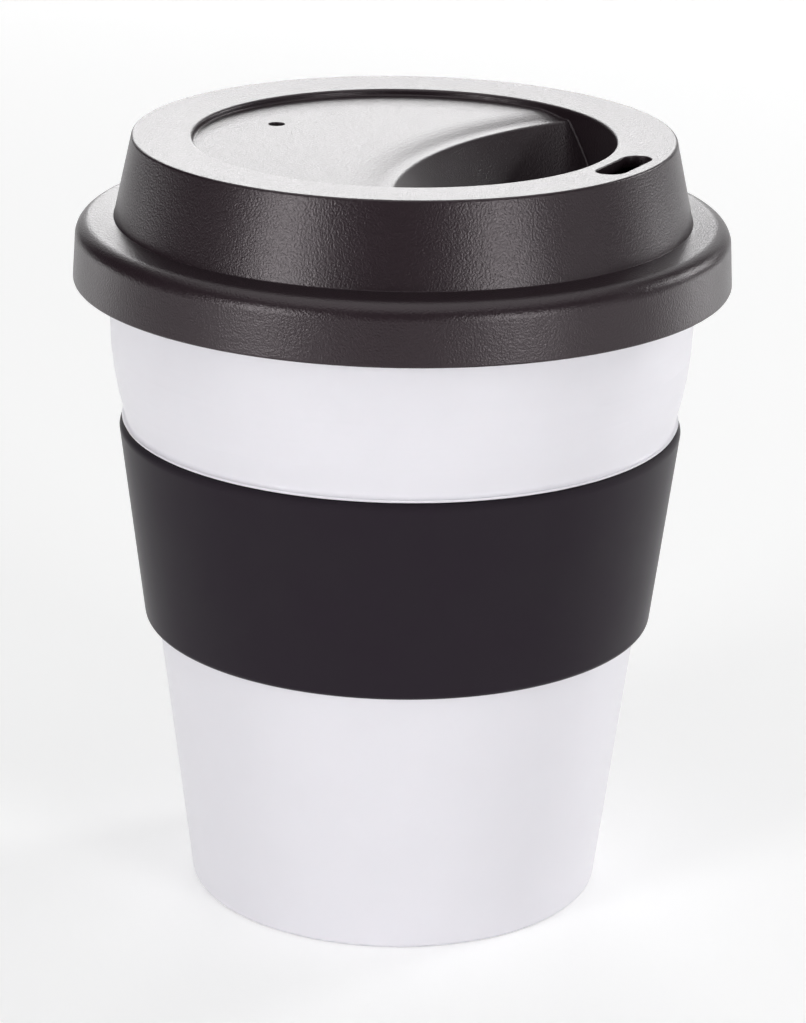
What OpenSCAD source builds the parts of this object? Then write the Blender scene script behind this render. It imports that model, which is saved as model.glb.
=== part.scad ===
// Reusable coffee cup: a moulded cup, a stretched grip band and a push-on lid.
// Millimetres. The cup stands on z = 0 and is drunk from on the +X side.

/* [Cup body] */
// Height of the cup without its lid, from the table to the top of the rim
cup_h = 102.6; // [97:0.1:120]
// Radius of the base, where the slope of the wall meets the table
base_r = 31.3; // [27:0.1:35]
// Thickness of the cup's wall
cup_wall = 1.8; // [1.2:0.1:2.6]
// Thickness of the cup's floor
floor_t = 2.2; // [1.5:0.1:4]
// Height of the foot ring that the cup stands on
foot_h = 1.6; // [0.8:0.1:3]
// Width of the foot ring
foot_w = 3.2; // [2.4:0.1:6]
// Rounding of the base's outer edge
base_round = 1; // [0.3:0.1:1.4]
// Rounding inside, where the wall meets the floor
inner_round = 4; // [1:0.1:8]

/* [Collar and rim] */
// Outer radius of the collar where it runs straight up under the lid
collar_r = 43.5; // [40:0.1:47]
// How far the collar stands out past its own foot on the ledge
collar_out = 2.3; // [2.1:0.1:3.5]
// Lean of the collar where it leaves the ledge, in degrees from upright
collar_lean = 16.5; // [14:0.1:17.5]
// Radius of the collar's bulge, seen from the side
collar_bulge = 49; // [20:1:55]
// Height of the ledge's underside, which the band stops against
ledge_z = 73.8; // [62:0.1:80]
// How far the ledge stands out past the foot of the collar
ledge_out = 0.5; // [0.3:0.05:1.4]
// Thickness of the ledge
ledge_t = 0.45; // [0.35:0.05:1.5]
// How far the rim's lip stands out past the collar
lip_out = 2.6; // [1.8:0.1:4]
// Thickness of the rim's lip
lip_t = 2; // [1.6:0.1:3]
// Rounding of the lip's outer edges and of the mouth
lip_round = 0.7; // [0.2:0.1:0.7]

/* [Grip band] */
// Height of the band
band_h = 31.1; // [20:0.1:50]
// Thickness of the band
band_t = 1.8; // [1.3:0.1:3]
// Rounding of the band's outer edges
band_round = 1.05; // [0.3:0.05:1.15]
// Gap between the band and the ledge above it
band_gap = 0.1; // [0.05:0.05:0.5]
// Gap behind the band, which sits tight on the real cup
band_fit = 0.05; // [0.02:0.01:0.2]

/* [Lid skirt and crown] */
// Height of the whole lid
lid_h = 21.4; // [19:0.1:26]
// Height of the skirt, from its bottom edge up to the foot of the crown
skirt_h = 9.2; // [7:0.1:11]
// Flare of the skirt, in degrees from upright
skirt_flare = 3.4; // [1:0.1:6]
// Thickness of the lid's walls
lid_wall = 1.9; // [1.2:0.1:2.2]
// Thickness of the flange at the foot of the crown
flange_t = 2.2; // [1.6:0.1:3]
// Slope of the flange, in degrees from level
flange_slope = 5; // [1:0.5:8]
// Rounding of the shoulder between flange and skirt
shoulder_round = 2.6; // [1.2:0.1:3]
// How far the crown's foot stands out past the cup's mouth
crown_out = 1.1; // [0.6:0.1:2]
// How much narrower the crown is at its top than at its foot, on each side
crown_lean = 2.7; // [1:0.1:4]
// Rounding of the crown's top edge
crown_round = 0.4; // [0.1:0.1:0.6]
// Gap between the cup's rim and the lid's flange that rests on it
seat_gap = 0.05; // [0.05:0.05:0.3]
// Gap between the rim's lip and the inside of the skirt
rim_gap = 0.4; // [0.2:0.05:0.8]
// Depth of the seal ring that reaches into the cup's mouth
seal_depth = 3.2; // [2:0.1:6]
// Thickness of the seal ring
seal_t = 1.4; // [1:0.1:1.9]
// Gap between the seal ring and the cup's mouth
seal_gap = 0.3; // [0.2:0.05:0.5]

/* [Drinking rim, recess and well] */
// Width of the drinking rim round the recess
rim_w = 8.9; // [8.2:0.1:11]
// How far the drinking rim falls towards the middle
rim_fall = 0.3; // [0.1:0.05:0.8]
// Rounding of the drinking rim's inner edge
rim_round = 0.5; // [0.2:0.1:0.7]
// Depth of the recess's shallow floor, measured from the crown's top
recess_depth = 1.25; // [1:0.05:2.4]
// Draft of the recess's wall, in degrees
recess_draft = 1.5; // [0.5:0.5:4]
// Depth of the well's floor, measured from the crown's top
well_depth = 10.3; // [7:0.1:12]
// Distance from the lid's axis to the well's inner edge
well_edge = 5.9; // [2:0.1:9]
// Radius of the well's inner edge, seen from above
well_arc = 58.5; // [50:0.5:80]
// Slope of the well's inner wall, in degrees from upright
well_slope = 45; // [20:1:50]
// Rounding of the well's floor where it meets the walls
well_round = 2; // [0.5:0.1:3]
// Rounding of the well's inner edge
well_lip_round = 0.8; // [0.3:0.1:1.5]
// How far the shallow floor dips on its way to the well's inner edge
dip_drop = 0.65; // [0.3:0.05:1.2]
// Length over which the shallow floor dips
dip_length = 6.5; // [3:0.1:8]
// Share of the dip's length that its lower bend takes
dip_share = 0.3; // [0.2:0.05:0.8]

/* [Sip slot and vent] */
// Length of the sip slot over its round ends
slot_length = 12.8; // [8:0.1:16]
// Width of the sip slot
slot_width = 4.4; // [3:0.1:4.6]
// Distance from the lid's axis to the vent hole
vent_at = 21.8; // [14:0.1:26]
// Diameter of the vent hole
vent_d = 2.4; // [1.5:0.1:3]

/* [Hidden] */
$fn = 180;
// Length by which a cut runs clear past a face
clear = 1;
// Softening of small moulded edges, of the ledge's edges and of inside corners
soft_edge = 0.3;
fine_edge = 0.15;
root_edge = 0.6;
inside_edge = 1.2;
// How far inside the collar's foot the taper of the wall ends
collar_step = 0.63;
// Share of the dip that its two bends take; a short straight between them takes the rest
bend_share = 0.9;
// How far a rounding's sliver reaches past the edges, and how far its arc cuts them
past = 0.05;
hair = 0.001;

// Cup: the wall is a straight taper from the base to just inside the collar's foot
collar_foot_r = collar_r - collar_out;
ledge_top = ledge_z + ledge_t;
wall_run = (collar_foot_r - collar_step - base_r) / ledge_top;
wall_slope = atan(wall_run);
function wall_r(z) = base_r + wall_run * z;
// Sideways thickness of the sloping wall
wall_side = cup_wall / cos(wall_slope);
function inside_r(z) = wall_r(z) - wall_side;
ledge_r = collar_foot_r + ledge_out;
lip_r = collar_r + lip_out;
lip_under = cup_h - lip_t;
mouth_r = collar_r - cup_wall;
inner_floor = foot_h + floor_t;
// The bulge rounds off the corner where the leaning foot would meet the upright collar
lean_run = tan(collar_lean);
bulge_z = ledge_top + collar_out / lean_run;
// Inside, the same corner is set in by the wall's thickness, and the lean runs down to the taper
inner_bulge_z = bulge_z + cup_wall * tan(collar_lean / 2);
inner_foot_z = (mouth_r - lean_run * inner_bulge_z - base_r + wall_side) / (wall_run - lean_run);

// Band: it hangs from the ledge and is parallel to the wall
band_top = ledge_z - band_gap;
band_z = band_top - band_h;
band_in = band_fit / cos(wall_slope);
band_out = band_in + band_t / cos(wall_slope);

// Lid: it rests on the cup's rim, and its skirt and seal ring clear the rim on both sides
flange_under = cup_h + seat_gap;
crease_z = flange_under + flange_t;
skirt_z = crease_z - skirt_h;
lid_top = skirt_z + lid_h;
crown_base_r = mouth_r + crown_out;
crown_top_r = crown_base_r - crown_lean;
skirt_in_r = lip_r + rim_gap;
shoulder_r = skirt_in_r + lid_wall;
shoulder_z = crease_z - tan(flange_slope) * (shoulder_r - crown_base_r);
flare = tan(skirt_flare);
skirt_r = shoulder_r + flare * (shoulder_z - skirt_z);
crown_side = lid_wall / cos(atan(crown_lean / (lid_top - crease_z)));
crown_ceiling = lid_top - lid_wall;
seal_r = mouth_r - seal_gap;
seal_in_r = seal_r - seal_t;
seal_bottom = flange_under - seal_depth;

// The recess's moulding starts inside the thickness of the crown's top
weld_z = (crown_ceiling + lid_top - rim_fall) / 2;

// Recess and well: the well's inner edge is an arc about an axis beyond the drinking side
recess_r = crown_top_r - rim_w;
rim_z = lid_top - rim_fall;
recess_floor = lid_top - recess_depth;
dip_floor = recess_floor - dip_drop;
well_floor = lid_top - well_depth;
well_axis = well_edge + well_arc;
sweep_r = well_axis + recess_r + 2 * lid_wall;
// The dip is a hollow bend and then a crowned one, with a short straight between the two arcs
dip_start = well_arc + well_lip_round;
dip_end = dip_start + dip_length;
dip_turn = 2 * atan(dip_drop / dip_length);
dip_low_run = dip_share * dip_drop / sin(dip_turn);
dip_high_run = (1 - dip_share) * dip_drop / sin(dip_turn);
dip_low_round = bend_share * dip_low_run / tan(dip_turn / 2);
dip_high_round = bend_share * dip_high_run / tan(dip_turn / 2);
slot_at = (recess_r + lid_wall + crown_top_r - crown_side) / 2;

function unit(a, b) = let (d = [b[0] - a[0], b[1] - a[1]]) d / norm(d);
// Positive where the outline turns left at b
function turn(a, b, c) = let (u = unit(a, b), v = unit(b, c)) u[0] * v[1] - u[1] * v[0];

// The sliver between a sharp corner at b and its rounding of radius r. Its sides reach a little
// past both edges and its arc cuts them by a hair, so that no two edges lie on one another
module corner(a, b, c, r) {
    u = unit(b, a);
    v = unit(b, c);
    half = acos(u * v) / 2;
    mid = (u + v) / norm(u + v);
    centre = [b[0], b[1]] + mid * (r - hair) / sin(half);
    tip = [b[0], b[1]] - mid * past / sin(half);
    reach = (r - hair + past) / tan(half);
    difference() {
        polygon([tip, tip + u * reach, centre, tip + v * reach]);
        translate(centre)
            circle(r);
    }
}

// The slivers of every corner that turns to one side, left for side = 1 and right for side = -1
module corners(points, side) {
    n = len(points);
    for (i = [0 : n - 1]) {
        a = points[(i + n - 1) % n];
        b = points[i];
        c = points[(i + 1) % n];
        if (b[2] > 0 && side * turn(a, b, c) > 0)
            corner(a, b, c, b[2]);
    }
}

// Outline through corners [x, y, rounding], listed anticlockwise
module outline(points) {
    difference() {
        union() {
            polygon([for (p = points) [p[0], p[1]]]);
            corners(points, -1);
        }
        corners(points, 1);
    }
}

// One moulding: foot ring, tapered wall, ledge, bulging collar and lipped rim
module cup() {
    color("ghostwhite")
        rotate_extrude()
            outline([
                [0, foot_h, 0],
                [base_r - foot_w, foot_h, soft_edge],
                [base_r - foot_w, 0, soft_edge],
                [base_r, 0, base_round],
                [wall_r(ledge_z), ledge_z, 0],
                [ledge_r, ledge_z, fine_edge],
                [ledge_r, ledge_top, fine_edge],
                [collar_foot_r, ledge_top, fine_edge],
                [collar_r, bulge_z, collar_bulge],
                [collar_r, lip_under, lip_round],
                [lip_r, lip_under, lip_round],
                [lip_r, cup_h, lip_round],
                [mouth_r, cup_h, lip_round],
                [mouth_r, inner_bulge_z, collar_bulge - cup_wall],
                [inside_r(inner_foot_z), inner_foot_z, 0],
                [inside_r(inner_floor), inner_floor, inner_round],
                [0, inner_floor, 0]
            ]);
}

// Stretched sleeve of even thickness, with soft outer edges
module grip_band() {
    color("#3a353a")
        rotate_extrude()
            outline([
                [wall_r(band_z) + band_in, band_z, 0],
                [wall_r(band_z) + band_out, band_z, band_round],
                [wall_r(band_top) + band_out, band_top, band_round],
                [wall_r(band_top) + band_in, band_top, 0]
            ]);
}

// Skirt, flange, crown and its top, hollow underneath, with the seal ring
module lid_shell() {
    rotate_extrude()
        outline([
            [0, crown_ceiling, 0],
            [crown_top_r - crown_side, crown_ceiling, inside_edge],
            [crown_base_r - crown_side, crease_z, 0],
            [seal_in_r, flange_under, 0],
            [seal_in_r, seal_bottom, soft_edge],
            [seal_r, seal_bottom, root_edge],
            [seal_r, flange_under, soft_edge],
            [skirt_in_r, flange_under, root_edge],
            [skirt_r - lid_wall, skirt_z, soft_edge],
            [skirt_r, skirt_z, soft_edge],
            [shoulder_r, shoulder_z, shoulder_round],
            [crown_base_r, crease_z, soft_edge],
            [crown_top_r, lid_top, crown_round],
            [recess_r, rim_z, 0],
            [0, rim_z, 0]
        ]);
}

// Round recess about the lid's axis, down to the well's floor, up to the height top
module recess_round(grow, top) {
    bottom = well_floor - grow;
    draft = tan(recess_draft);
    rotate_extrude()
        outline([
            [0, bottom, 0],
            [recess_r + grow - draft * (rim_z - bottom), bottom, well_round + grow],
            [recess_r + grow + draft * (top - rim_z), top, 0],
            [0, top, 0]
        ]);
}

// What the rounding of the drinking rim's inner edge takes away
module rim_edge() {
    rotate_extrude()
        corner(
            [recess_r - tan(recess_draft) * recess_depth, rim_z - recess_depth],
            [recess_r, rim_z],
            [crown_top_r, lid_top],
            rim_round
        );
}

// Shallow floor, dip, sloping inner wall and well floor, turned about the well's own axis
module well_sweep(grow) {
    shelf = recess_floor - grow;
    low = dip_floor - grow;
    bottom = well_floor - grow;
    // A sloping wall that grows by its thickness moves its edge along the level above it
    edge = well_arc + grow * (1 / cos(well_slope) - tan(well_slope));
    foot = edge - tan(well_slope) * (low - bottom);
    translate([well_axis, 0, 0])
        rotate_extrude()
            outline([
                [0, bottom, 0],
                [foot, bottom, well_round + grow],
                [edge, low, max(well_lip_round - grow, 0)],
                [dip_start + dip_low_run, low, dip_low_round],
                [dip_end - dip_high_run, shelf, dip_high_round],
                [sweep_r, shelf, 0],
                [sweep_r, lid_top + 2 * clear, 0],
                [0, lid_top + 2 * clear, 0]
            ]);
}

// Everything above the recess's floor and inside its wall; grow adds the thickness of the moulding
module recess_space(grow, top) {
    intersection() {
        recess_round(grow, top);
        well_sweep(grow);
    }
}

// Round-ended slot through the drinking rim
module sip_slot() {
    depth = lid_wall + 2 * clear;
    end = (slot_length - slot_width) / 2;
    translate([slot_at, 0, crown_ceiling - clear]) {
        for (side = [-1, 1])
            translate([0, side * end, 0])
                cylinder(d = slot_width, h = depth);
        translate([-slot_width / 2, -end, 0])
            cube([slot_width, 2 * end, depth]);
    }
}

// Vent hole through the shallow floor, opposite the slot
module vent_hole() {
    translate([-vent_at, 0, recess_floor - lid_wall - clear])
        cylinder(d = vent_d, h = lid_wall + 2 * clear);
}

// One moulding
module lid() {
    color("#3b3438")
        difference() {
            union() {
                lid_shell();
                recess_space(lid_wall, weld_z);
            }
            recess_space(0, lid_top + clear);
            rim_edge();
            sip_slot();
            vent_hole();
        }
}

cup();
grip_band();
lid();
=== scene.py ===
"""Reusable coffee cup: a white moulded cup, a dark stretched grip band and a charcoal push-on lid."""

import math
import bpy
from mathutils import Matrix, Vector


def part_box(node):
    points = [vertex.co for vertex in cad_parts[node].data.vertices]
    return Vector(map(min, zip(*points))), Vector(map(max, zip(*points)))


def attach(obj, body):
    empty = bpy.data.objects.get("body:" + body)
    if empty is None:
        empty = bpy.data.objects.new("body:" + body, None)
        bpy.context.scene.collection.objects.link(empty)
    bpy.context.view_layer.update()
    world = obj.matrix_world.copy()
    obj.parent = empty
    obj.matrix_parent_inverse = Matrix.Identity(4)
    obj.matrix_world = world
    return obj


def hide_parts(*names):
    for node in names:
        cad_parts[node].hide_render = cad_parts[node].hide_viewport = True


bl_info = {
    "name": "Reusable Coffee Cup",
    "version": (1, 0, 0),
    "blender": (4, 5, 0),
    "location": "3D View > Sidebar > Coffee Cup",
    "description": "Makes a moulded coffee cup with its grip band, its drinking lid and a small studio",
    "category": "Add Mesh",
}

from types import SimpleNamespace

import bmesh
import bpy
import numpy as np
from mathutils import Matrix, Vector

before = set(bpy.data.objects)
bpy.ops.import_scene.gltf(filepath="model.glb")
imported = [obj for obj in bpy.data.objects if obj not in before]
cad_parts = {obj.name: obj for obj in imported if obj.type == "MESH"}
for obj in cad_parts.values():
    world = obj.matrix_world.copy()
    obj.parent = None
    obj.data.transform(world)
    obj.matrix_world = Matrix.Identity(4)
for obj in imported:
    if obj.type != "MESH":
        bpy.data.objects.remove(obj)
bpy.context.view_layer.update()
CUP_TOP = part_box("cup")[1].z
BAND_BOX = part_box("grip_band")
LID_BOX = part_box("lid")

MM = 0.001
# Softening of small moulded edges, and the distance of a holding line from the end of a rounding
SOFT = 0.3 * MM
HOLD = 0.1 * MM
# Gap between pieces that touch each other on the real object
TOUCH = 0.05 * MM

# How finely the surfaces are cut: degrees per step of a rounding, columns round a turned piece, steps round
# half of the recess's wall, and steps from its fillet to the middle of a row
ARC_STEP = 9
COLUMNS = 360
WALL_STEPS = 150
FLOOR_STEPS = 24
# Distances from the recess's wall at which a row of its floor is cut, closest where its fillet is steepest
INSETS = np.array([0, 0.015, 0.06, 0.13, 0.24, 0.38, 0.56, 0.78, 1.04, 1.34, 1.68, 2.06]) * MM
# Share of a short row's half width that these distances may take
INSET_SHARE = 0.8
# Shares of the way from the loop round a hole to its edge, and from its lower edge to the loop below
INTO_HOLE = (0, 0.3, 0.55, 0.75, 0.9, 0.97)
OUT_OF_HOLE = (0.1, 0.4, 1)
# Half angle of the window in the rim for the slot, and reach of the window in the floor for the vent
SLOT_WINDOW = math.radians(17)
VENT_WINDOW = 3 * MM
VENT_COLUMNS = 3


# Sizes and colours that a user would change

def length(name, metres, description):
    """A length property, in metres, that can't go below zero."""
    return bpy.props.FloatProperty(
        name=name, description=description, default=metres, min=0.0, precision=5,
        subtype="DISTANCE", unit="LENGTH")


def angle(name, degrees, description):
    """An angle property with its default given in degrees."""
    return bpy.props.FloatProperty(
        name=name, description=description, default=math.radians(degrees),
        subtype="ANGLE", unit="ROTATION")


def colour(name, rgb, description):
    """A colour property in scene-linear values."""
    return bpy.props.FloatVectorProperty(
        name=name, description=description, default=rgb, size=3, min=0.0, max=1.0, subtype="COLOR")


class CupSizes(bpy.types.PropertyGroup):
    """Sizes of the moulded cup"""

    height: length("Height", CUP_TOP, "Height of the cup without its lid")
    base_radius: length("Base radius", 31.3 * MM, "Radius where the wall's slope meets the table")
    wall: length("Wall", 1.8 * MM, "Thickness of the wall")
    floor: length("Floor", 2.2 * MM, "Thickness of the floor")
    foot_height: length("Foot height", 1.6 * MM, "Height of the foot ring")
    foot_width: length("Foot width", 3.2 * MM, "Width of the foot ring")
    base_edge: length("Base rounding", 1 * MM, "Rounding of the wall's lower edge")
    collar_radius: length("Collar radius", 43.5 * MM, "Radius of the collar under the lid")
    collar_out: length("Collar out", 2.3 * MM, "How far the collar stands out past its own foot")
    collar_lean: angle("Collar lean", 16.5, "Lean of the collar where it leaves the ledge")
    collar_bulge: length("Collar bulge", 49 * MM, "Radius of the collar's bulge, seen from the side")
    ledge_height: length("Ledge height", 73.8 * MM, "Height of the ledge's underside")
    ledge_out: length("Ledge out", 0.5 * MM, "How far the ledge stands out past the collar's foot")
    ledge_thickness: length("Ledge thickness", 0.45 * MM, "Thickness of the ledge")
    ledge_fillet: length("Ledge fillet", 0.5 * MM, "Fillet between the ledge and the collar's foot")
    collar_step: length("Collar step", 0.63 * MM, "How far the collar's foot stands out past the wall's line")
    lip_out: length("Lip out", 2.6 * MM, "How far the rim's lip stands out past the collar")
    lip_thickness: length("Lip thickness", 2 * MM, "Thickness of the rim's lip")
    lip_edge: length("Lip rounding", 0.7 * MM, "Rounding of the rim's lip")
    inner_bend: length("Inner bend", 20 * MM, "Rounding inside, where the collar's slope meets the wall's")
    floor_fillet: length("Floor fillet", 4 * MM, "Fillet inside, between wall and floor")


class BandSizes(bpy.types.PropertyGroup):
    """Sizes of the grip band"""

    height: length("Height", BAND_BOX[1].z - BAND_BOX[0].z, "Height of the band")
    top: length("Top", BAND_BOX[1].z, "Height of the band's top edge over the table")
    thickness: length("Thickness", 1.8 * MM, "Thickness of the band")
    edge: length("Edge rounding", 1.05 * MM, "Rounding of the band's outer edges")


class LidSizes(bpy.types.PropertyGroup):
    """Sizes of the lid"""

    top: length("Top", LID_BOX[1].z, "Height of the crown's top edge over the table")
    bottom: length("Bottom", LID_BOX[0].z, "Height of the skirt's bottom edge over the table")
    skirt: length("Skirt", 9.2 * MM, "Height of the skirt up to the foot of the crown")
    wall: length("Wall", 1.9 * MM, "Thickness of the lid's walls")
    rim_gap: length("Rim gap", 0.4 * MM, "Gap between the skirt and the cup's lip")
    flare: angle("Flare", 3.4, "Flare of the skirt from upright")
    flange_slope: angle("Flange slope", 5, "Slope of the flange from level")
    shoulder: length("Shoulder rounding", 2.6 * MM, "Rounding between flange and skirt")
    crown_out: length("Crown out", 1.1 * MM, "How far the crown's foot stands out past the cup's mouth")
    crown_lean: length("Crown lean", 2.7 * MM, "How much narrower the crown is at its top, each side")
    crown_edge: length("Crown rounding", 0.4 * MM, "Rounding of the crown's top edge")
    rim: length("Drinking rim", 8.9 * MM, "Width of the rim round the recess")
    rim_fall: length("Rim fall", 0.3 * MM, "How far the rim falls towards the middle")
    rim_edge: length("Rim rounding", 0.5 * MM, "Rounding between the rim and the recess")
    draft: angle("Draft", 1.5, "Draft of the recess's wall from upright")
    recess_depth: length("Recess depth", 1.25 * MM, "Depth of the shallow floor under the crown's top")
    dip: length("Dip", 0.65 * MM, "How far the shallow floor dips towards the well's inner edge")
    dip_length: length("Dip length", 6.5 * MM, "Length over which the shallow floor dips")
    dip_share: bpy.props.FloatProperty(
        name="Dip share", description="Share of the dip's length that its lower bend takes",
        default=0.3, min=0.1, max=0.9, subtype="FACTOR")
    well_depth: length("Well depth", 10.3 * MM, "Depth of the well's floor under the crown's top")
    well_edge: length("Well edge", 5.9 * MM, "Distance from the lid's axis to the well's inner edge")
    well_arc: length("Well arc", 58.5 * MM, "Radius of the well's inner edge, seen from above")
    well_slope: angle("Well slope", 45, "Slope of the well's inner wall from upright")
    well_round: length("Well rounding", 0.8 * MM, "Rounding of the well's inner edge")
    well_fillet: length("Well fillet", 2 * MM, "Fillet round the well's floor")
    slot_length: length("Slot length", 12.8 * MM, "Length of the sip slot over its round ends")
    slot_width: length("Slot width", 4.4 * MM, "Width of the sip slot")
    slot_edge: length("Slot rounding", 0.2 * MM, "Rounding of the sip slot's upper edge")
    vent_at: length("Vent at", 21.8 * MM, "Distance from the lid's axis to the vent hole")
    vent_diameter: length("Vent diameter", 2.4 * MM, "Diameter of the vent hole")
    vent_edge: length("Vent rounding", 0.15 * MM, "Rounding of the vent hole's upper edge")
    seal_gap: length("Seal gap", 0.3 * MM, "Gap between the seal ring and the cup's mouth")
    seal_width: length("Seal width", 1.4 * MM, "Thickness of the seal ring")
    seal_height: length("Seal height", 3.2 * MM, "How far the seal ring reaches down into the cup")


class Finishes(bpy.types.PropertyGroup):
    """Colours of the three mouldings, and the lid's grain"""

    cup_colour: colour("Cup", (0.80, 0.785, 0.83), "White of the moulded cup")
    band_colour: colour("Band", (0.0125, 0.0072, 0.0135), "Dark grey of the silicone band")
    lid_colour: colour("Lid", (0.0195, 0.012, 0.0155), "Charcoal of the moulded lid")
    grain: length("Grain", 0.3 * MM, "Size of the lumps of the lid's moulded grain")


class Studio(bpy.types.PropertyGroup):
    """Where the camera stands, and the stage's colour and light"""

    azimuth: angle("Azimuth", 28.2, "Direction that the camera looks from, round the cup")
    distance: length("Distance", 535.6 * MM, "Level distance from the cup's axis to the camera")
    height: length("Height", 242.0 * MM, "Height of the camera over the table")
    tilt: angle("Tilt", 18.93, "How far the camera looks down")
    roll: angle("Roll", 0.94, "Roll of the camera about its line of sight")
    swing: angle("Swing", 0.07, "How far the camera looks past the cup's axis")
    lens: bpy.props.FloatProperty(
        name="Lens", description="Focal length on a 36 mm sensor", default=130.97, min=1.0,
        subtype="DISTANCE_CAMERA", unit="CAMERA")
    floor_colour: colour("Floor", (0.9, 0.9, 0.9), "Pale grey of the table")
    floor_glow: bpy.props.FloatProperty(
        name="Floor glow", description="Light that the table adds to the camera's view and to reflections",
        default=0.3, min=0.0)
    sky_light: bpy.props.FloatProperty(
        name="Sky light", description="Strength of the white surround as a light", default=0.33, min=0.0)


GROUPS = {
    "cup_sizes": CupSizes,
    "band_sizes": BandSizes,
    "lid_sizes": LidSizes,
    "finishes": Finishes,
    "studio": Studio,
}


# Outlines and surfaces

def corner_arcs(corners):
    """For each corner (x, y, radius) of an outline, the points that stand for it. A rounded corner gives an
    arc: its centre lies on the corner's bisector, radius / sin(half angle) from the tip, and its points are
    centre + radius * (cos a, sin a), with a running from one edge's foot to the other's."""
    corners = np.asarray(corners, float)
    arcs = []
    for k, (x, y, radius) in enumerate(corners):
        tip = np.array([x, y])
        if radius <= 0:
            arcs.append(tip[None])
            continue
        back = corners[k - 1, :2] - tip
        on = corners[(k + 1) % len(corners), :2] - tip
        back, on = back / np.linalg.norm(back), on / np.linalg.norm(on)
        half = math.acos(np.clip(back @ on, -1, 1)) / 2
        centre = tip + (back + on) / np.linalg.norm(back + on) * radius / math.sin(half)
        foot = tip + back * radius / math.tan(half) - centre
        turn = math.copysign(math.pi - 2 * half, on[0] * back[1] - on[1] * back[0])
        steps = max(4, math.ceil(abs(turn) / math.radians(ARC_STEP)))
        a = math.atan2(foot[1], foot[0]) + turn * np.linspace(0, 1, steps + 1)
        arcs.append(centre + radius * np.stack([np.cos(a), np.sin(a)], -1))
    return arcs


def held(line, longest=4 * MM):
    """The same line with more points: a span longer than four holds gets a point one hold from each end,
    and even points between them, no further apart than longest."""
    line = np.asarray(line, float)
    out = [line[:1]]
    for a, b in zip(line[:-1], line[1:]):
        size = np.linalg.norm(b - a)
        t = np.array([1.0])
        if size > 4 * HOLD:
            n = max(1, math.ceil((size - 2 * HOLD) / longest))
            t = np.append(np.linspace(HOLD / size, 1 - HOLD / size, n + 1), 1.0)
        out.append(a + t[:, None] * (b - a))
    return np.concatenate(out)


def turned(line, angles):
    """Surface of revolution: the point at row i and column j is (r_i cos a_j, r_i sin a_j, z_i)."""
    r, z = np.asarray(line, float).T
    return np.stack([
        np.outer(r, np.cos(angles)), np.outer(r, np.sin(angles)), np.outer(z, np.ones_like(angles))], -1)


def loop_round(grid, rows, columns):
    """The points round a window of a grid, in order, from its first row and column."""
    (top, bottom), (left, right) = rows, columns
    return np.concatenate([
        grid[top, left:right],
        grid[top:bottom, right],
        grid[bottom, right:left:-1],
        grid[bottom:top:-1, left]])


class Skin:
    """Grids of points that together make one closed surface."""

    def __init__(self):
        self.points, self.faces, self.count = [], [], 0

    def add(self, grid, closed=False, window=None):
        """Adds the faces between each four neighbours of grid[i, j]. closed joins the last column to the
        first, and window = (rows, columns) leaves out the faces inside it."""
        rows, columns = grid.shape[:2]
        index = self.count + np.arange(rows * columns).reshape(rows, columns)
        if closed:
            index = np.concatenate([index, index[:, :1]], 1)
        quads = np.stack([index[:-1, :-1], index[1:, :-1], index[1:, 1:], index[:-1, 1:]], -1)
        keep = np.ones(quads.shape[:2], bool)
        if window:
            (top, bottom), (left, right) = window
            keep[top:bottom, left:right] = False
        self.points.append(grid.reshape(-1, 3))
        self.faces.append(quads[keep])
        self.count += rows * columns

    def build(self, name):
        """Makes the object, with doubles merged, so poles and seams close, and faces pointing outwards."""
        mesh = bpy.data.meshes.new(name)
        mesh.from_pydata(np.concatenate(self.points).tolist(), [], np.concatenate(self.faces).tolist())
        bm = bmesh.new()
        bm.from_mesh(mesh)
        bmesh.ops.remove_doubles(bm, verts=bm.verts, dist=1e-7)
        bmesh.ops.recalc_face_normals(bm, faces=bm.faces)
        open_edges = sum(not e.is_manifold for e in bm.edges)
        bm.to_mesh(mesh)
        bm.free()
        if open_edges:
            raise RuntimeError(f"{name} has {open_edges} open edges")
        mesh.polygons.foreach_set("use_smooth", np.ones(len(mesh.polygons), bool))
        piece = bpy.data.objects.new(name, mesh)
        bpy.context.scene.collection.objects.link(piece)
        return piece


def dress(piece, body, node, material):
    """Gives a piece its finish, ties it to its CAD body and lets it stand for its CAD node."""
    piece.data.materials.append(material)
    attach(piece, body)
    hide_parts(node)


# Shapes

def wall_line(cup):
    """(radius at the table, run per height) of the straight taper of the cup's wall."""
    ledge_top = cup.ledge_height + cup.ledge_thickness
    foot = cup.collar_radius - cup.collar_out - cup.collar_step
    return cup.base_radius, (foot - cup.base_radius) / ledge_top


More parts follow.
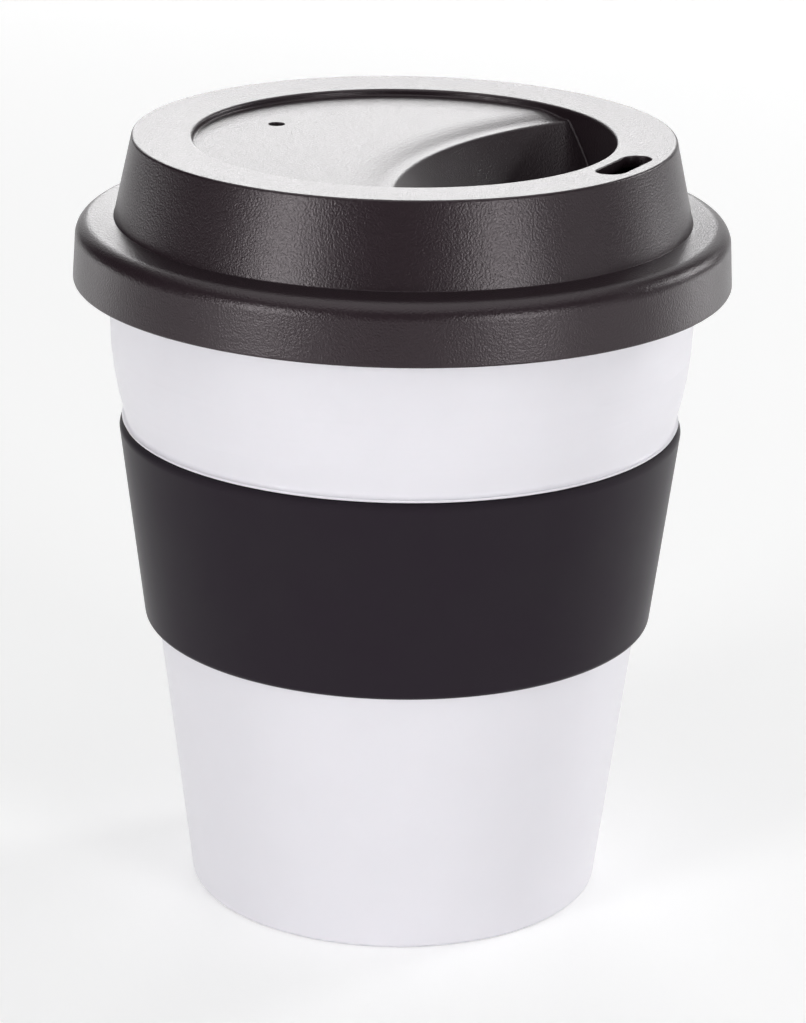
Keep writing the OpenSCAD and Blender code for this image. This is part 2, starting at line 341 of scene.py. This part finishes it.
def cup_outline(cup):
    """Corners of the cup's section, from the axis underneath round to the axis on the inner floor."""
    start, run = wall_line(cup)
    side = cup.wall / math.cos(math.atan(run))
    foot = cup.collar_radius - cup.collar_out
    ledge_top = cup.ledge_height + cup.ledge_thickness
    ledge = foot + cup.ledge_out
    lip = cup.collar_radius + cup.lip_out
    under = cup.height - cup.lip_thickness
    mouth = cup.collar_radius - cup.wall
    floor = cup.foot_height + cup.floor
    lean = math.tan(cup.collar_lean)
    bulge = ledge_top + cup.collar_out / lean
    inner_bulge = bulge + cup.wall * math.tan(cup.collar_lean / 2)
    inner_foot = (mouth - lean * inner_bulge - start + side) / (run - lean)
    inner_ring = cup.base_radius - cup.foot_width
    return [
        (0, cup.foot_height, 0),
        (inner_ring, cup.foot_height, SOFT),
        (inner_ring, 0, SOFT),
        (cup.base_radius, 0, cup.base_edge),
        (start + run * cup.ledge_height, cup.ledge_height, SOFT / 2),
        (ledge, cup.ledge_height, SOFT / 2),
        (ledge, ledge_top, SOFT / 2),
        (foot, ledge_top, cup.ledge_fillet),
        (cup.collar_radius, bulge, cup.collar_bulge),
        (cup.collar_radius, under, cup.lip_edge),
        (lip, under, cup.lip_edge),
        (lip, cup.height, cup.lip_edge),
        (mouth, cup.height, cup.lip_edge),
        (mouth, inner_bulge, cup.collar_bulge - cup.wall),
        (start + run * inner_foot - side, inner_foot, cup.inner_bend),
        (start + run * floor - side, floor, cup.floor_fillet),
        (0, floor, 0),
    ]


def band_outline(band, cup):
    """Corners of the band's section: a strip of even thickness, parallel to the cup's wall."""
    start, run = wall_line(cup)
    lean = math.cos(math.atan(run))
    inner, outer = TOUCH / lean, (TOUCH + band.thickness) / lean
    low, high = band.top - band.height, band.top
    return [
        (start + run * low + inner, low, SOFT / 2),
        (start + run * low + outer, low, band.edge),
        (start + run * high + outer, high, band.edge),
        (start + run * high + inner, high, SOFT / 2),
    ]


def lid_values(lid, cup):
    """Heights and radii of the lid that follow from its own sizes and from the cup's mouth."""
    v = SimpleNamespace(top=lid.top, wall=lid.wall)
    v.crease = lid.bottom + lid.skirt
    v.under = cup.height + TOUCH
    v.mouth = cup.collar_radius - cup.wall
    v.crown_base = v.mouth + lid.crown_out
    v.crown_top = v.crown_base - lid.crown_lean
    v.skirt_in = cup.collar_radius + cup.lip_out + lid.rim_gap
    v.shoulder = v.skirt_in + lid.wall
    v.shoulder_z = v.crease - math.tan(lid.flange_slope) * (v.shoulder - v.crown_base)
    v.skirt_out = v.shoulder + math.tan(lid.flare) * (v.shoulder_z - lid.bottom)
    v.crown_side = lid.wall / math.cos(math.atan(lid.crown_lean / (lid.top - v.crease)))
    v.ceiling = lid.top - lid.wall
    v.seal = v.mouth - lid.seal_gap
    v.seal_in = v.seal - lid.seal_width
    v.seal_bottom = v.under - lid.seal_height
    v.recess = v.crown_top - lid.rim
    v.rim_z = lid.top - lid.rim_fall
    v.shelf = lid.top - lid.recess_depth
    v.dip = v.shelf - lid.dip
    v.well = lid.top - lid.well_depth
    v.draft = math.tan(lid.draft)
    v.axis = lid.well_edge + lid.well_arc
    v.slot_at = (v.recess + lid.wall + v.crown_top - v.crown_side) / 2
    return v


def well_line(lid, v, grow):
    """Section of the recess's floor from the well outwards, as (distance from the well's axis, height): the
    well's floor, its sloping wall, its edge, the dip made of two arcs, and the shallow floor. grow
    moves the line to the underside of the moulding, that far below at right angles to the floors and wall."""
    slope = math.tan(lid.well_slope)
    shelf, low, bottom = v.shelf - grow, v.dip - grow, v.well - grow
    edge = lid.well_arc + grow * (1 / math.cos(lid.well_slope) - slope)
    turn = 2 * math.atan(lid.dip / lid.dip_length)
    slant = lid.dip / math.sin(turn)
    low_run, high_run = lid.dip_share * slant, (1 - lid.dip_share) * slant
    share = 0.9  # of each side of a bend that its arc takes, which leaves a straight between the two
    bend = share / math.tan(turn / 2)
    start = lid.well_arc + lid.well_round
    return held(np.concatenate(corner_arcs([
        (0, bottom, 0),
        (edge - slope * (low - bottom), bottom, lid.well_fillet + grow),
        (edge, low, max(lid.well_round - grow, SOFT / 3)),
        (start + low_run, low, bend * low_run),
        (start + lid.dip_length - high_run, shelf, bend * high_run),
        (v.axis + v.recess + 3 * v.wall, shelf, 0)])), longest=20 * MM)


def recess_radius(v, z, grow):
    """Radius of the recess's drafted wall at height z, or of its outside when grow is the thickness."""
    return v.recess + grow - v.draft * (v.rim_z - z)


def recess_rows(lid, v):
    """Distances from the well's axis at which the recess's floor is cut into rows, with rows on every line
    of its section and, between them, rows that meet the recess's wall at even angles."""
    line = well_line(lid, v, 0)
    near = v.axis - recess_radius(v, v.well + lid.well_fillet, 0)
    far = v.axis + recess_radius(v, v.shelf + SOFT, 0)
    lines = line[(line[:, 0] > near + HOLD) & (line[:, 0] < far - HOLD), 0]
    a = np.linspace(0, math.pi, WALL_STEPS + 1)[1:-1]
    even = np.sqrt(v.recess ** 2 + v.axis ** 2 - 2 * v.recess * v.axis * np.cos(a))
    even = even[np.abs(even[:, None] - lines).min(1) > 0.8 * HOLD]
    even = even[(even > near + 0.1 * HOLD) & (even < far - 0.02 * HOLD)]
    return np.concatenate([[near], np.sort(np.concatenate([lines, even])), [far]])


def recess_floor(lid, v, grow, rows=None, angles=None):
    """The recess's floor as a grid, with the angles at which its rows meet the recess's wall. Each row is an
    arc about the well's axis, a distance q from it, cut off by the round wall: the angle there follows from
    cos a = (R^2 + A^2 - q^2) / (2 R A), with R the wall's radius and A the distance between the two axes.
    Heights are the section's at q, and near the wall a quarter round of radius f is added, so that a point
    at distance d < f from the wall is raised by f - sqrt(f^2 - (f - d)^2). f is small round the shallow
    floor and the sloping wall, and grows to the well's fillet over the lowest quarter of the well."""
    line = well_line(lid, v, grow)
    axis = v.axis

    def section(q):
        z = np.interp(q, line[:, 0], line[:, 1])
        deep = np.clip(4 * (v.dip - grow - z) / (v.dip - v.well) - 3, 0, 1)
        return z, SOFT + deep * (lid.well_fillet + grow - SOFT)

    if rows is None:
        radius = recess_radius(v, v.well, grow)
        # The wall's radius and the floor's height depend on each other, and settle in a few rounds
        for _ in range(4):
            rows = np.sqrt(radius ** 2 + axis ** 2 - 2 * radius * axis * np.cos(angles))
            z, fillet = section(rows)
            radius = recess_radius(v, z + fillet, grow)
    else:
        z, fillet = section(rows)
        radius = recess_radius(v, z + fillet, grow)
        angles = np.arccos(np.clip((radius ** 2 + axis ** 2 - rows ** 2) / (2 * radius * axis), -1, 1))
        angles[0], angles[-1] = 0, math.pi
    across = radius - np.abs(axis - rows)
    inset = INSETS * np.minimum(1, INSET_SHARE * across / INSETS[-1])[:, None]
    cosine = (axis ** 2 + rows[:, None] ** 2 - (radius[:, None] - inset) ** 2) / (2 * axis * rows[:, None])
    side = np.arccos(np.clip(cosine, -1, 1))
    middle = side[:, -1:] * np.linspace(1, 0, FLOOR_STEPS + 1)[1:]
    half = np.concatenate([side, middle], 1)
    swing = np.concatenate([-half, half[:, -2::-1]], 1)
    x = axis - rows[:, None] * np.cos(swing)
    y = rows[:, None] * np.sin(swing)
    inside = np.clip(radius[:, None] - np.hypot(x, y), 0, None)
    f = fillet[:, None]
    rise = f - np.sqrt(np.clip(f ** 2 - np.clip(f - inside, 0, None) ** 2, 0, None))
    height = z[:, None] + rise
    height[:, 0] = height[:, -1] = z + fillet
    return np.stack([x, y, height], -1), angles


def both_ways(half):
    """Values of the half turn from 0 to pi carried on round the other half, from -pi to pi, ends once."""
    return np.concatenate([half[-2:0:-1], half])


def recess_wall(v, floor, angles, top, grow):
    """The recess's drafted wall: at each angle it runs from the floor's edge up to the height top."""
    edge = both_ways(floor[:, -1, 2])
    t = held(np.stack([np.linspace(0, 1, 2)] * 2, -1) * (top - edge.min()), longest=1.5 * MM)[:, 0]
    t = t / t[-1]
    z = edge + t[:, None] * (top - edge)
    r = recess_radius(v, z, grow)
    return np.stack([r * np.cos(angles), r * np.sin(angles), z], -1)


def through_hole(top_loop, bottom_loop, centre, end, half_width, edge, height_at):
    """The skin of a hole and of the faces round it, as rings from the loop above to the loop below. The
    hole's outline is every point at half_width from a straight spine through centre, end long each way
    along Y. A loop's point p goes to c + half_width * (p - c) / |p - c|, with c the spine's point nearest
    to p. Each edge is a quarter round: at angle a it lies (1 - sin a) back and (1 - cos a) down."""
    def spine(loop):
        return np.stack([np.full(len(loop), centre), np.clip(loop[:, 1], -end, end)], -1)

    c = spine(top_loop)
    out = top_loop[:, :2] - c
    out /= np.linalg.norm(out, axis=1)[:, None]
    turn = np.linspace(0, math.pi / 2, 5)
    rings = []
    for share in INTO_HOLE:
        xy = top_loop[:, :2] + share * (c + out * (half_width + edge) - top_loop[:, :2])
        rings.append(np.column_stack([xy, height_at(xy)]))
    for a in turn:
        xy = c + out * (half_width + edge * (1 - math.sin(a)))
        rings.append(np.column_stack([xy, height_at(xy) - edge * (1 - math.cos(a))]))
    floor, small = bottom_loop[:, 2].mean(), SOFT / 3
    for a in turn[::-1]:
        xy = c + out * (half_width + small * (1 - math.sin(a)))
        rings.append(np.column_stack([xy, np.full(len(xy), floor + small * (1 - math.cos(a)))]))
    last = rings[-1]
    for share in OUT_OF_HOLE:
        rings.append(last + share * (bottom_loop - last))
    return np.stack(rings)


def lid_skin(lid, cup):
    """The whole lid as one closed skin."""
    v = lid_values(lid, cup)
    floor, half = recess_floor(lid, v, 0, rows=recess_rows(lid, v))
    under, _ = recess_floor(lid, v, v.wall, angles=half)
    angles = both_ways(np.array(half))
    angles[:len(half) - 2] *= -1
    arcs = corner_arcs([
        (recess_radius(v, v.rim_z - 1 * MM, 0), v.rim_z - 1 * MM, 0),
        (v.recess, v.rim_z, lid.rim_edge),
        (v.crown_top, v.top, lid.crown_edge),
        (v.crown_base, v.crease, SOFT / 3),
        (v.shoulder, v.shoulder_z, lid.shoulder),
        (v.skirt_out, lid.bottom, SOFT),
        (v.skirt_out - v.wall, lid.bottom, SOFT),
        (v.skirt_in, v.under, 2 * SOFT),
        (v.seal, v.under, SOFT),
        (v.seal, v.seal_bottom, 2 * SOFT),
        (v.seal_in, v.seal_bottom, SOFT),
        (v.seal_in, v.under, SOFT),
        (v.crown_base - v.crown_side, v.crease, SOFT),
        (v.crown_top - v.crown_side, v.ceiling, SOFT),
        (v.recess + v.wall, v.ceiling, 0),
    ])
    rim_line = held(np.stack([arcs[1][-1], arcs[2][0]]), longest=1 * MM)
    outer = turned(held(np.concatenate(arcs[2:14])), angles)
    ceiling_line = np.stack([arcs[13][-1], (recess_radius(v, v.ceiling, v.wall), v.ceiling)])
    inward = np.linspace(0, 1, len(rim_line))[:, None]
    ceiling_line = ceiling_line[0] + inward * (ceiling_line[1] - ceiling_line[0])

    skin = Skin()
    rim = turned(rim_line, angles)
    ceiling = turned(ceiling_line, angles)
    middle = len(half) - 2
    spread = int(np.searchsorted(half, SLOT_WINDOW))
    slot = ((1, len(rim_line) - 2), (middle - spread, middle + spread))
    skin.add(recess_wall(v, floor, angles, arcs[1][0][1], 0), closed=True)
    skin.add(turned(arcs[1], angles), closed=True)
    skin.add(rim, closed=True, window=slot)
    skin.add(outer, closed=True)
    skin.add(ceiling, closed=True, window=slot)
    skin.add(recess_wall(v, under, angles, v.ceiling, v.wall), closed=True)

    def rim_height(xy):
        return v.rim_z + (np.hypot(*xy.T) - v.recess) * (v.top - v.rim_z) / (v.crown_top - v.recess)

    end = (lid.slot_length - lid.slot_width) / 2
    skin.add(through_hole(
        loop_round(rim, *slot), loop_round(ceiling[::-1], *slot),
        v.slot_at, end, lid.slot_width / 2, lid.slot_edge, rim_height), closed=True)

    middle = floor.shape[1] // 2
    rows = floor[:, middle, 0]
    first = int(np.searchsorted(-rows, lid.vent_at - VENT_WINDOW))
    last = int(np.searchsorted(-rows, lid.vent_at + VENT_WINDOW))
    vent = ((first, last), (middle - VENT_COLUMNS, middle + VENT_COLUMNS))
    skin.add(floor, window=vent)
    skin.add(under, window=vent)
    skin.add(through_hole(
        loop_round(floor, *vent), loop_round(under, *vent), -lid.vent_at, 0,
        lid.vent_diameter / 2, lid.vent_edge, lambda xy: np.full(len(xy), v.shelf)), closed=True)
    return skin


# Finishes

# Where nearly all values of a noise texture lie
NOISE_RANGE = (0.3, 0.7)


def new_finish(name):
    """A material with its Principled shader, and its node and link makers."""
    material = bpy.data.materials.new(name)
    material.use_nodes = True
    nodes, links = material.node_tree.nodes, material.node_tree.links
    return material, nodes, links, nodes["Principled BSDF"]


def noise(nodes, links, size, detail=2.0, roughness=0.5):
    """Noise on Object coordinates whose lumps are about size across, in metres."""
    where = nodes.new("ShaderNodeTexCoord")
    texture = nodes.new("ShaderNodeTexNoise")
    texture.inputs["Scale"].default_value = 1 / size
    texture.inputs["Detail"].default_value = detail
    texture.inputs["Roughness"].default_value = roughness
    links.new(where.outputs["Object"], texture.inputs["Vector"])
    return texture


def spread(nodes, links, source, low, high):
    """Maps the noise's usual range to low..high."""
    ranged = nodes.new("ShaderNodeMapRange")
    for socket, value in zip(("From Min", "From Max", "To Min", "To Max"), (*NOISE_RANGE, low, high)):
        ranged.inputs[socket].default_value = value
    links.new(source.outputs["Fac"], ranged.inputs["Value"])
    return ranged.outputs["Result"]


def shades(nodes, links, source, dark, light):
    """A ramp between two close shades over the noise's usual range."""
    ramp = nodes.new("ShaderNodeValToRGB")
    for element, position, rgb in zip(ramp.color_ramp.elements, NOISE_RANGE, (dark, light)):
        element.position, element.color = position, (*rgb, 1)
    links.new(source.outputs["Fac"], ramp.inputs["Fac"])
    return ramp.outputs["Color"]


def bump(nodes, links, source, height):
    """Bump of the given height in metres."""
    relief = nodes.new("ShaderNodeBump")
    relief.inputs["Strength"].default_value = 1.0
    relief.inputs["Distance"].default_value = height
    links.new(source.outputs["Fac"], relief.inputs["Height"])
    return relief.outputs["Normal"]


def scaled(rgb, factor):
    """A lighter or darker shade of a colour."""
    return tuple(min(1, c * factor) for c in rgb)


def cup_finish(rgb):
    """White polypropylene with a satin skin: a little light goes into it, and its skin is faintly uneven."""
    material, nodes, links, shader = new_finish("cup_plastic")
    cloud = noise(nodes, links, 12 * MM, 3)
    links.new(shades(nodes, links, cloud, scaled(rgb, 0.99), scaled(rgb, 1.01)), shader.inputs["Base Color"])
    skin = noise(nodes, links, 1.1 * MM, 4)
    links.new(spread(nodes, links, skin, 0.30, 0.38), shader.inputs["Roughness"])
    links.new(bump(nodes, links, skin, 0.004 * MM), shader.inputs["Normal"])
    shader.inputs["IOR"].default_value = 1.49
    shader.inputs["Subsurface Weight"].default_value = 0.15
    shader.inputs["Subsurface Radius"].default_value = (1.0, 0.9, 0.9)
    shader.inputs["Subsurface Scale"].default_value = 1.5 * MM
    return material


def band_finish(rgb):
    """Matte silicone: a soft powdery skin with a very fine tooth and faint cloudy handling marks. Its gloss
    tightens towards a grazing look, as a matte skin's does, which lights its limbs."""
    material, nodes, links, shader = new_finish("band_silicone")
    cloud = noise(nodes, links, 9 * MM, 4, 0.6)
    links.new(shades(nodes, links, cloud, scaled(rgb, 0.92), scaled(rgb, 1.08)), shader.inputs["Base Color"])
    facing = nodes.new("ShaderNodeLayerWeight")
    facing.inputs["Blend"].default_value = 0.35
    matte = nodes.new("ShaderNodeMapRange")
    matte.inputs["From Min"].default_value, matte.inputs["From Max"].default_value = 0.2, 0.9
    matte.inputs["To Max"].default_value = 0.4
    links.new(facing.outputs["Facing"], matte.inputs["Value"])
    links.new(spread(nodes, links, cloud, 0.74, 0.82), matte.inputs["To Min"])
    links.new(matte.outputs["Result"], shader.inputs["Roughness"])
    tooth = noise(nodes, links, 0.12 * MM, 1)
    links.new(bump(nodes, links, tooth, 0.006 * MM), shader.inputs["Normal"])
    shader.inputs["IOR"].default_value = 1.41
    shader.inputs["Specular IOR Level"].default_value = 0.4
    shader.inputs["Sheen Weight"].default_value = 0.12
    shader.inputs["Sheen Roughness"].default_value = 0.3
    return material


def lid_finish(rgb, grain):
    """Charcoal polypropylene from a spark-eroded mould: a fine even grain under a satin shine, whose lumps
    differ a little in gloss, and a faint cloudiness in the colour."""
    material, nodes, links, shader = new_finish("lid_plastic")
    cloud = noise(nodes, links, 7 * MM, 3)
    links.new(shades(nodes, links, cloud, scaled(rgb, 0.97), scaled(rgb, 1.03)), shader.inputs["Base Color"])
    fine = noise(nodes, links, grain, 2)
    links.new(spread(nodes, links, fine, 0.29, 0.33), shader.inputs["Roughness"])
    links.new(bump(nodes, links, fine, 0.06 * MM), shader.inputs["Normal"])
    shader.inputs["IOR"].default_value = 1.5
    shader.inputs["Specular IOR Level"].default_value = 0.45
    # Its reflections are tinted warm: a painted tint that stands in for the warm light of the front strips
    shader.inputs["Specular Tint"].default_value = (1.0, 0.93, 0.955, 1)
    return material


# Studio

# Half the table's width, the point over the table that the lamps look at, and the camera's sensor in mm
TABLE_HALF = 6.0
AIM = 0.06
SENSOR = 36
# Degrees that the dark card reaches each way from the camera's side, its steps, radius and height
CARD_REACH = 150
CARD_STEPS = 46
CARD_RADIUS = 1.6
CARD_HEIGHT = 2.0
# Each soft lamp's degrees round from the camera and up from level, its distance from the aim, its size
# across and up, and its power in watts. The strips draw the highlights down crown and skirt, the top panel
# lights the rim and table, the back panel the recess's floor, and the low lamps the cup's edges.
LAMPS = {
    "left_strip": (-47, 8, 1.1, (0.30, 0.50), 5.3),
    "right_strip": (39, 8, 1.1, (0.28, 0.42), 4.1),
    "side_strip": (75, 10, 1.2, (0.35, 0.50), 0.6),
    "right_panel": (112, 8, 1.3, (0.30, 0.50), 0.35),
    "right_spot": (122, 20, 1.3, (0.28, 0.28), 3.2),
    "back_panel": (183, 16, 1.4, (0.60, 0.40), 3.4),
    "top_panel": (180, 88, 1.9, (2.6, 2.6), 5.8),
    "low_left": (-119, -3, 0.45, (0.14, 0.06), 0.047),
    "low_right": (115, -3, 0.45, (0.20, 0.07), 0.12),
}


def pale_surface(name, rgb, glow):
    """A pale stage surface that lamps light and shade, and that glows a little to the camera and in
    reflections, so that it reads as white there without lighting the cup."""
    material = bpy.data.materials.new(name)
    material.use_nodes = True
    nodes, links = material.node_tree.nodes, material.node_tree.links
    nodes.clear()
    out = nodes.new("ShaderNodeOutputMaterial")
    diffuse = nodes.new("ShaderNodeBsdfDiffuse")
    diffuse.inputs["Color"].default_value = (*rgb, 1)
    visible = seen(nodes, links)
    shine = nodes.new("ShaderNodeMath")
    shine.operation = "MULTIPLY"
    shine.inputs[1].default_value = glow
    links.new(visible, shine.inputs[0])
    emission = nodes.new("ShaderNodeEmission")
    links.new(shine.outputs[0], emission.inputs["Strength"])
    both = nodes.new("ShaderNodeAddShader")
    links.new(diffuse.outputs[0], both.inputs[0])
    links.new(emission.outputs[0], both.inputs[1])
    links.new(both.outputs[0], out.inputs["Surface"])
    return material


def seen(nodes, links):
    """1 for camera, glossy and transmission rays, 0 for the rest."""
    path = nodes.new("ShaderNodeLightPath")
    shiny = nodes.new("ShaderNodeMath")
    shiny.operation = "MAXIMUM"
    links.new(path.outputs["Is Glossy Ray"], shiny.inputs[0])
    links.new(path.outputs["Is Transmission Ray"], shiny.inputs[1])
    any_of = nodes.new("ShaderNodeMath")
    any_of.operation = "MAXIMUM"
    links.new(path.outputs["Is Camera Ray"], any_of.inputs[0])
    links.new(shiny.outputs[0], any_of.inputs[1])
    return any_of.outputs[0]


def dark_card(azimuth):
    """A dark card bent round the camera's side of the table, as studios use to keep glare off black
    plastic: the point at angle a and height h is (R sin a, -R cos a, h). It shows in reflections alone."""
    a = np.radians(azimuth + np.linspace(-CARD_REACH, CARD_REACH, CARD_STEPS + 1))
    rim = CARD_RADIUS * np.stack([np.sin(a), -np.cos(a)], -1)
    points = np.concatenate([np.insert(rim, 2, h, 1) for h in (0, CARD_HEIGHT)])
    left = np.arange(len(a) - 1)
    faces = np.stack([left, left + 1, left + 1 + len(a), left + len(a)], -1)
    mesh = bpy.data.meshes.new("dark_card")
    mesh.from_pydata(points.tolist(), [], faces.tolist())
    material, _, _, shader = new_finish("dark_felt")
    shader.inputs["Base Color"].default_value = (0.02, 0.02, 0.02, 1)
    shader.inputs["Roughness"].default_value = 1
    mesh.materials.append(material)
    card = bpy.data.objects.new("dark_card", mesh)
    bpy.context.scene.collection.objects.link(card)
    card.visible_camera = card.visible_diffuse = False
    return card


def soft_lamp(name, azimuth, elevation, distance, size, power):
    """An oblong soft lamp that looks at the cup from a direction round it, and that the camera can't see."""
    lamp = bpy.data.lights.new(name, "AREA")
    lamp.shape = "RECTANGLE"
    lamp.size, lamp.size_y = size
    lamp.energy = power
    a, e = math.radians(azimuth), math.radians(elevation)
    away = Vector((math.sin(a) * math.cos(e), -math.cos(a) * math.cos(e), math.sin(e)))
    place = Matrix.Translation(Vector((0, 0, AIM)) + away * distance)
    thing = bpy.data.objects.new(name, lamp)
    thing.matrix_world = place @ away.to_track_quat("Z", "Y").to_matrix().to_4x4()
    thing.visible_camera = False
    bpy.context.scene.collection.objects.link(thing)


def white_surround(scene, light):
    """A world that is white to the camera and in reflections, and that lights the scene at its own level."""
    world = bpy.data.worlds.new("studio")
    scene.world = world
    world.use_nodes = True
    nodes, links = world.node_tree.nodes, world.node_tree.links
    background = nodes["Background"]
    background.inputs["Color"].default_value = (1, 1, 1, 1)
    level = nodes.new("ShaderNodeMapRange")
    level.inputs["To Min"].default_value = light
    level.inputs["To Max"].default_value = 1.0
    links.new(seen(nodes, links), level.inputs["Value"])
    links.new(level.outputs["Result"], background.inputs["Strength"])


def stand_camera(scene, now):
    """The camera, at its place round the cup, tilted down at it and rolled about its line of sight."""
    camera = bpy.data.cameras.new("camera")
    camera.lens, camera.sensor_width = now.lens, SENSOR
    camera.clip_start, camera.clip_end = 0.01, 50
    a, tilt, roll = now.azimuth, now.tilt, now.roll
    place = Vector((math.sin(a) * now.distance, -math.cos(a) * now.distance, now.height))
    look = -a + now.swing
    ahead = Vector((math.sin(look) * math.cos(tilt), math.cos(look) * math.cos(tilt), -math.sin(tilt)))
    right = Vector((math.cos(look), -math.sin(look), 0))
    up = right.cross(ahead)
    across = math.cos(roll) * right + math.sin(roll) * up
    upward = math.cos(roll) * up - math.sin(roll) * right
    turn = Matrix((across, upward, -ahead)).transposed().to_4x4()
    thing = bpy.data.objects.new("camera", camera)
    thing.matrix_world = Matrix.Translation(place) @ turn
    scene.collection.objects.link(thing)
    scene.camera = thing


# Operators

def settings(context):
    """The scene's sizes and colours."""
    return SimpleNamespace(**{name: getattr(context.scene, name) for name in GROUPS})


def even_angles():
    """Angles of a turned piece's columns."""
    return np.linspace(0, 2 * math.pi, COLUMNS, endpoint=False)


class MakeCup(bpy.types.Operator):
    """Make the white moulded cup"""

    bl_idname = "coffee_cup.make_cup"
    bl_label = "Cup"

    def execute(self, context):
        now = settings(context)
        line = held(np.concatenate(corner_arcs(cup_outline(now.cup_sizes))))
        skin = Skin()
        skin.add(turned(line, even_angles()), closed=True)
        dress(skin.build("moulded_cup"), "cup", "cup", cup_finish(now.finishes.cup_colour))
        return {"FINISHED"}


class MakeBand(bpy.types.Operator):
    """Make the dark stretched grip band"""

    bl_idname = "coffee_cup.make_band"
    bl_label = "Grip Band"

    def execute(self, context):
        now = settings(context)
        line = np.concatenate(corner_arcs(band_outline(now.band_sizes, now.cup_sizes)))
        skin = Skin()
        skin.add(turned(held(np.concatenate([line, line[:1]])), even_angles()), closed=True)
        dress(
            skin.build("stretched_band"), "cup", "grip_band",
            band_finish(now.finishes.band_colour))
        return {"FINISHED"}


class MakeLid(bpy.types.Operator):
    """Make the charcoal lid with its well, sip slot and vent"""

    bl_idname = "coffee_cup.make_lid"
    bl_label = "Lid"

    def execute(self, context):
        now = settings(context)
        piece = lid_skin(now.lid_sizes, now.cup_sizes).build("drinking_lid")
        dress(piece, "lid", "lid", lid_finish(now.finishes.lid_colour, now.finishes.grain))
        return {"FINISHED"}


class MakeStudio(bpy.types.Operator):
    """Make the pale table, the soft lamps and the camera"""

    bl_idname = "coffee_cup.make_studio"
    bl_label = "Studio"

    def execute(self, context):
        scene, now = context.scene, settings(context).studio
        mesh = bpy.data.meshes.new("table")
        s = TABLE_HALF
        mesh.from_pydata([(-s, -s, 0), (s, -s, 0), (s, s, 0), (-s, s, 0)], [], [(0, 1, 2, 3)])
        mesh.materials.append(pale_surface("table_top", now.floor_colour, now.floor_glow))
        table = bpy.data.objects.new("table", mesh)
        scene.collection.objects.link(table)

        white_surround(scene, now.sky_light)
        view = math.degrees(now.azimuth)
        card = dark_card(view)
        for name, (azimuth, elevation, distance, size, power) in LAMPS.items():
            soft_lamp(name, view + azimuth, elevation, distance, size, power)
        stand_camera(scene, now)
        scene.view_settings.view_transform = "Standard"
        return {"FINISHED"}


class CupPanel(bpy.types.Panel):
    """Buttons for the pieces and the studio, with their sizes and colours"""

    bl_label = "Coffee Cup"
    bl_idname = "VIEW3D_PT_coffee_cup"
    bl_space_type = "VIEW_3D"
    bl_region_type = "UI"
    bl_category = "Coffee Cup"

    def draw(self, context):
        for maker in MAKERS:
            self.layout.operator(maker.bl_idname)
        for name, group in GROUPS.items():
            box = self.layout.box()
            box.label(text=name.replace("_", " ").capitalize())
            for key in group.__annotations__:
                box.prop(getattr(context.scene, name), key)


MAKERS = (MakeCup, MakeBand, MakeLid, MakeStudio)
CLASSES = (*GROUPS.values(), *MAKERS, CupPanel)


def register():
    """Registers the classes and gives every scene its groups of sizes and colours."""
    for cls in CLASSES:
        bpy.utils.register_class(cls)
    for name, group in GROUPS.items():
        setattr(bpy.types.Scene, name, bpy.props.PointerProperty(type=group))


def unregister():
    """Takes back what register did, in the opposite order."""
    for name in GROUPS:
        delattr(bpy.types.Scene, name)
    for cls in reversed(CLASSES):
        bpy.utils.unregister_class(cls)


def main():
    """Makes every piece and the studio."""
    register()
    bpy.ops.coffee_cup.make_cup()
    bpy.ops.coffee_cup.make_band()
    bpy.ops.coffee_cup.make_lid()
    bpy.ops.coffee_cup.make_studio()


if __name__ == "__main__":
    main()
